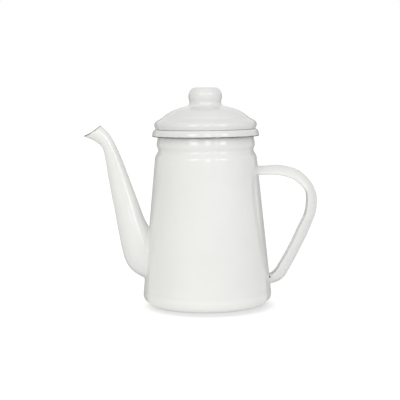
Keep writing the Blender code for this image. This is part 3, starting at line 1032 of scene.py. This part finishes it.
def enamel(name, seed, painted_light_share=WHITE, bare_and_pit_shade_reach=0.0, gloss=GLOSS, painted_rim_shade=False, painted_foot_light=False):
    """White enamel: faint clouds, a rippled gloss and bare dark steel along a worn lip. It also
    carries painted light and shade: a tint for the whole piece, paler colour low on the foot,
    darker colour on the rim, and a dark spot at the strap's foot that is partly painted shade.
    """
    material = bpy.data.materials.new(name)
    material.use_nodes = True
    tree = material.node_tree
    shader = tree.nodes["Principled BSDF"]
    shader.inputs["IOR"].default_value = ENAMEL_IOR

    place = add_node(tree, "ShaderNodeTexCoord").outputs["Object"]
    start = tuple(seed * share for share in SEED_SHIFT)
    shift = add_node(tree, "ShaderNodeMapping", {"Vector": place, "Location": start})

    def noise(scale, detail, grain=0.5):
        sockets = {
            "Vector": shift.outputs["Vector"],
            "Scale": scale,
            "Detail": detail,
            "Roughness": grain,
        }
        return add_node(tree, "ShaderNodeTexNoise", sockets).outputs["Fac"]

    cloud_share = spread(tree, noise(CLOUD_SCALE, 3.0), CLOUD_SPAN, (0.0, 1.0))
    # The piece's tint is painted light and shade: it makes the lid, ring, knob and strap darker
    # and the spout lighter.
    pale, deep = (tuple(a * b for a, b in zip(colour, painted_light_share)) for colour in ENAMEL_CLOUDS)
    colour = mixed(tree, cloud_share, pale, deep)
    roughness = spread(tree, noise(GLOSS_SCALE, 2.0), NOISE_SPAN, gloss)
    # Painted light: the colour turns paler low on the foot.
    if painted_foot_light:
        parts = add_node(tree, "ShaderNodeSeparateXYZ", {0: place})
        share = spread(tree, parts.outputs["Z"], FOOT_PAINTED_LIGHT_SPAN, (1.0, 0.0))
        colour = mixed(tree, share, colour, FOOT_PAINTED_LIGHT)
    # Dark bare steel along a worn lip; on the strap it is a spot at the foot, partly painted shade
    # of the hollow there.
    if bare_and_pit_shade_reach:
        distance = add_node(tree, "ShaderNodeAttribute", attribute_name="edge_mm").outputs["Fac"]
        if painted_rim_shade:
            # Painted shade: the rim is darker within a few millimetres of its lip.
            rim_shade_share = spread(tree, distance, RIM_PAINTED_SHADE_SPAN, (1.0, 0.0))
            colour = mixed(tree, rim_shade_share, colour, RIM_PAINTED_SHADE)
        ragged = spread(tree, noise(RAGGED_SCALE, 3.0, RAGGED_GRAIN), NOISE_SPAN, RAGGED_SPAN)
        total = add_node(tree, "ShaderNodeMath", {0: distance, 1: ragged}, operation="ADD")
        border = (bare_and_pit_shade_reach, bare_and_pit_shade_reach + BARE_FADE)
        bare_and_pit_shade = spread(tree, total.outputs[0], border, (1.0, 0.0))
        colour = mixed(tree, bare_and_pit_shade, colour, mixed(tree, noise(RUST_SCALE, 3.0), *RUST_AND_PIT_SHADE_COLOURS))
        sockets = {0: bare_and_pit_shade, 2: roughness, 3: RUST_ROUGHNESS}
        roughness = add_node(tree, "ShaderNodeMix", sockets, data_type="FLOAT").outputs[0]
    tree.links.new(colour, shader.inputs["Base Color"])
    tree.links.new(roughness, shader.inputs["Roughness"])

    sockets = {"Height": noise(WAVE_SCALE, 1.0), "Strength": 1.0, "Distance": WAVE_HEIGHT}
    wave = add_node(tree, "ShaderNodeBump", sockets)
    sockets = {
        "Height": noise(PEEL_SCALE, 1.0),
        "Strength": 1.0,
        "Distance": PEEL_HEIGHT,
        "Normal": wave.outputs["Normal"],
    }
    peel = add_node(tree, "ShaderNodeBump", sockets)
    tree.links.new(peel.outputs["Normal"], shader.inputs["Normal"])
    return material


# Studio


def make_floor():
    """White paper. The camera sees it with the pot's shadow, a painted shadow where its glow is
    weaker round the foot, and a glow that hides its far edge.
    """
    half = FLOOR_HALF
    mesh = bpy.data.meshes.new("floor")
    corners = [(-half, -half, 0), (half, -half, 0), (half, half, 0), (-half, half, 0)]
    mesh.from_pydata(corners, [], [(0, 1, 2, 3)])
    floor = bpy.data.objects.new("floor", mesh)
    floor.location = (AXIS_X, 0, -FLOOR_DROP)
    bpy.context.scene.collection.objects.link(floor)
    floor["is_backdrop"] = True
    material = bpy.data.materials.new("floor_white")
    tree = fresh_tree(material)
    plain_colour = (FLOOR_COLOUR, FLOOR_COLOUR, FLOOR_COLOUR, 1.0)
    dim_colour = (FLOOR_SHADE, FLOOR_SHADE, FLOOR_SHADE, 1.0)
    plain = add_node(tree, "ShaderNodeBsdfDiffuse", {"Color": plain_colour})
    dim = add_node(tree, "ShaderNodeBsdfDiffuse", {"Color": dim_colour})
    place = add_node(tree, "ShaderNodeTexCoord").outputs["Object"]
    # Painted shadow: the glow is weaker near the pot and full further out.
    sockets = {0: place, 1: PAINTED_SHADOW_CENTRE}
    length = add_node(tree, "ShaderNodeVectorMath", sockets, operation="DISTANCE")
    strength = spread(
        tree,
        length.outputs["Value"],
        (PAINTED_SHADOW_INNER, PAINTED_SHADOW_OUTER),
        (FLOOR_GLOW_IN_PAINTED_SHADOW, FLOOR_GLOW_FAR),
        interpolation_type="SMOOTHSTEP",
    )
    glow = add_node(tree, "ShaderNodeEmission", {"Color": WHITE, "Strength": strength})
    both = add_node(tree, "ShaderNodeAddShader", {0: dim.outputs[0], 1: glow.outputs[0]})
    add_node(tree, "ShaderNodeOutputMaterial", {"Surface": picked(tree, plain, both)})
    mesh.materials.append(material)


def make_card(name, rows, strength):
    """A glowing card, given as rows of corners. Only gloss shows it, so it lights nothing."""
    mesh = bpy.data.meshes.new(name)
    width = len(rows[0])
    faces = []
    for row in range(len(rows) - 1):
        for column in range(width - 1):
            corner = row * width + column
            faces.append((corner, corner + width, corner + width + 1, corner + 1))
    mesh.from_pydata([tuple(point) for row in rows for point in row], [], faces)
    card = bpy.data.objects.new(name, mesh)
    bpy.context.scene.collection.objects.link(card)
    card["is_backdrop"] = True
    for kind in ("camera", "diffuse", "transmission", "volume_scatter", "shadow"):
        setattr(card, "visible_" + kind, False)
    material = bpy.data.materials.new(name)
    tree = fresh_tree(material)
    material.cycles.emission_sampling = "NONE"
    glow = add_node(tree, "ShaderNodeEmission", {"Color": WHITE, "Strength": strength})
    add_node(tree, "ShaderNodeOutputMaterial", {"Surface": glow.outputs[0]})
    mesh.materials.append(material)


def toward(side, elevation):
    """Direction at a side angle from the camera and an elevation, both in degrees."""
    side = math.radians(side)
    elevation = math.radians(elevation)
    return Vector((
        math.sin(side) * math.cos(elevation),
        -math.cos(side) * math.cos(elevation),
        math.sin(elevation),
    ))


def make_flag():
    """A grey card behind the pot and on the table: it draws the darker line down each side."""
    rows = []
    for step in range(FLAG_STEPS + 1):
        share = 2 * step / FLAG_STEPS - 1
        rows.append([
            Vector((AXIS_X, 0, height)) + toward(180 + half_angle * share, 0) * radius
            for half_angle, radius, height in flag_line
        ])
    make_card("flag", rows, FLAG_GREY)


def make_world():
    """White to the eye and in the gloss. It lights the pot mostly from the front and above."""
    world = bpy.data.worlds.new("studio")
    bpy.context.scene.world = world
    tree = fresh_tree(world)
    place = add_node(tree, "ShaderNodeTexCoord").outputs["Generated"]
    across = add_node(tree, "ShaderNodeSeparateXYZ", {0: place})
    share = spread(tree, across.outputs["X"], FILL_SPAN, (0.0, 1.0))
    tint = mixed(tree, share, FILL_LEFT, FILL_RIGHT)
    sockets = {0: place, 1: FILL_LEAN}
    lean = add_node(tree, "ShaderNodeVectorMath", sockets, operation="DOT_PRODUCT")
    sockets = {0: lean.outputs["Value"], 1: FILL_EVEN}
    total = add_node(tree, "ShaderNodeMath", sockets, operation="ADD")
    sockets = {0: total.outputs[0], 1: FILL_LEAST}
    least = add_node(tree, "ShaderNodeMath", sockets, operation="MAXIMUM")
    fill = add_node(tree, "ShaderNodeBackground", {"Color": tint, "Strength": least.outputs[0]})
    seen = add_node(tree, "ShaderNodeBackground", {"Color": WHITE, "Strength": 1.0})
    add_node(tree, "ShaderNodeOutputWorld", {"Surface": picked(tree, fill, seen)})


def make_lamps():
    """Softboxes at the same distance, each as wide and as tall as its angles from the pot say."""
    aim = Vector((AXIS_X, 0, LAMP_AIM_HEIGHT))
    for number, (side, width, lowest, highest, brightness) in enumerate(softboxes):
        direction = toward(side, (lowest + highest) / 2)
        lamp = bpy.data.lights.new("softbox_%d" % number, "AREA")
        lamp.shape = "RECTANGLE"
        lamp.size = 2 * LAMP_DISTANCE * math.tan(math.radians(width / 2))
        lamp.size_y = 2 * LAMP_DISTANCE * math.tan(math.radians((highest - lowest) / 2))
        lamp.energy = math.pi * lamp.size * lamp.size_y * brightness
        holder = bpy.data.objects.new(lamp.name, lamp)
        holder.location = aim + direction * LAMP_DISTANCE
        holder.rotation_euler = direction.to_track_quat("Z", "Y").to_euler()
        holder.visible_camera = False
        bpy.context.scene.collection.objects.link(holder)


def make_camera():
    """Camera at the photograph's angle, its lens worked out from the focal length in pixels."""
    data = bpy.data.cameras.new("camera")
    data.sensor_width = SENSOR_WIDTH
    data.lens = SENSOR_WIDTH * FOCAL_PIXELS / PICTURE_PIXELS
    camera = bpy.data.objects.new("camera", data)
    camera.location = (AXIS_X + CAMERA_SIDE, -CAMERA_BACK, CAMERA_HEIGHT)
    dip = Matrix.Rotation(math.pi / 2 - CAMERA_DIP, 3, "X")
    roll = Matrix.Rotation(CAMERA_ROLL, 3, "Z")
    camera.rotation_euler = (dip @ roll).to_euler()
    bpy.context.scene.collection.objects.link(camera)
    bpy.context.scene.camera = camera


def build():
    """The pot's seven pieces, each in its enamel, and the studio round them."""
    for make, name in (
        (make_body, "body_enamel"),
        (make_base_pan, "base_enamel"),
        (make_spout, "spout_enamel"),
        (make_handle, "handle_enamel"),
        (make_lid_cover, "lid_enamel"),
        (make_lid_collar, "ring_enamel"),
        (make_lid_knob, "knob_enamel"),
    ):
        make(enamel(name, **enamels[name]))
    make_floor()
    make_flag()
    make_world()
    make_lamps()
    make_camera()


for scrap in ("Cube", "Light", "Camera"):
    if scrap in bpy.data.objects:
        bpy.data.objects.remove(bpy.data.objects[scrap])

build()

view_settings = bpy.context.scene.view_settings
view_settings.view_transform = "Standard"

low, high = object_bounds()
